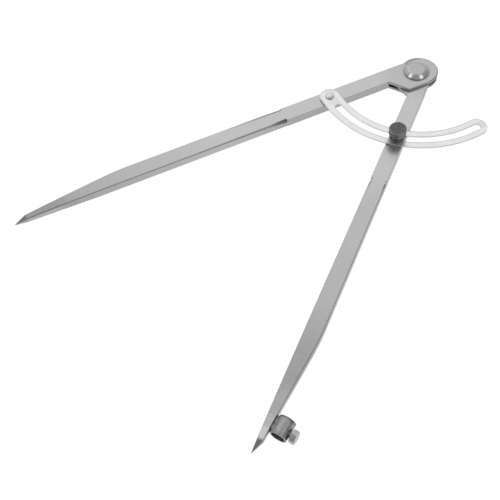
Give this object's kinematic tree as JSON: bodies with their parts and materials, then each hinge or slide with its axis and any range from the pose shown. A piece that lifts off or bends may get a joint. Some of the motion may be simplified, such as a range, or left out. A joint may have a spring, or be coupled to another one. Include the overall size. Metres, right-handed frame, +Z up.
{
  "type": "carpenter compass",
  "caption": "Steel marking compass with ground points, a slotted quadrant arc locked by a thumb screw, and a pencil ring with a hexagon clamp screw beside one point.",
  "frame": {"origin": "centre of the pivot rivet's flat lower end, which is the lowest point of the joint", "axes": "+Z up along the pivot axis, -Y along the pencil leg towards its point, +X towards the side with the pencil ring"},
  "size_m": [0.2657, 0.3154, 0.0186],
  "materials": {
    "ground_steel": "forged bar, surface ground to a soft satin, points ground darker",
    "turned_steel": "turned, polished cone, satin end face",
    "plated_sheet": "pale satin plating over stamped sheet",
    "blackened_steel": "black oxide, matt, knurled grip",
    "brazed_tube": "cut tube, darkened by brazing",
    "bright_fastener": "plain zinc-plated screw"
  },
  "bodies": {
    "needle_side": {"needle_leg": "ground_steel", "quadrant_arc": "plated_sheet", "arc_rivet": "plated_sheet", "pivot_rivet": "turned_steel", "rivet_burr": "turned_steel"},
    "pencil_side": {"pencil_leg": "ground_steel", "pencil_ring": "brazed_tube"},
    "washer": {"clamp_washer": "blackened_steel"},
    "arc_screw": {"thumb_screw": "blackened_steel"},
    "ring_screw": {"pencil_clamp_screw": "bright_fastener"}
  },
  "joints": [
    {"name": "leg_hinge", "type": "hinge", "parent": "needle_side", "child": "pencil_side", "pos_m": [0, 0, 0], "axis": [0, 0, 1], "range_deg": [-43.1, 48.9]},
    {"name": "washer_lift", "type": "slide", "parent": "pencil_side", "child": "washer", "axis": [0, 0, 1], "range_m": [0, 0.0014]},
    {"name": "thumb_screw_turn", "type": "hinge", "parent": "washer", "child": "arc_screw", "pos_m": [0.006, -0.06532, 0], "axis": [0, 0, 1], "range_deg": [0, 720]},
    {"name": "pencil_screw_travel", "type": "slide", "parent": "pencil_side", "child": "ring_screw", "axis": [0.9902, -0.1399, 0], "range_m": [-0.0006, 0.0011]}
  ],
  "couplings": [
    {"joint": "thumb_screw_turn", "follows": "washer_lift", "rad_per_m": 8976}
  ]
}
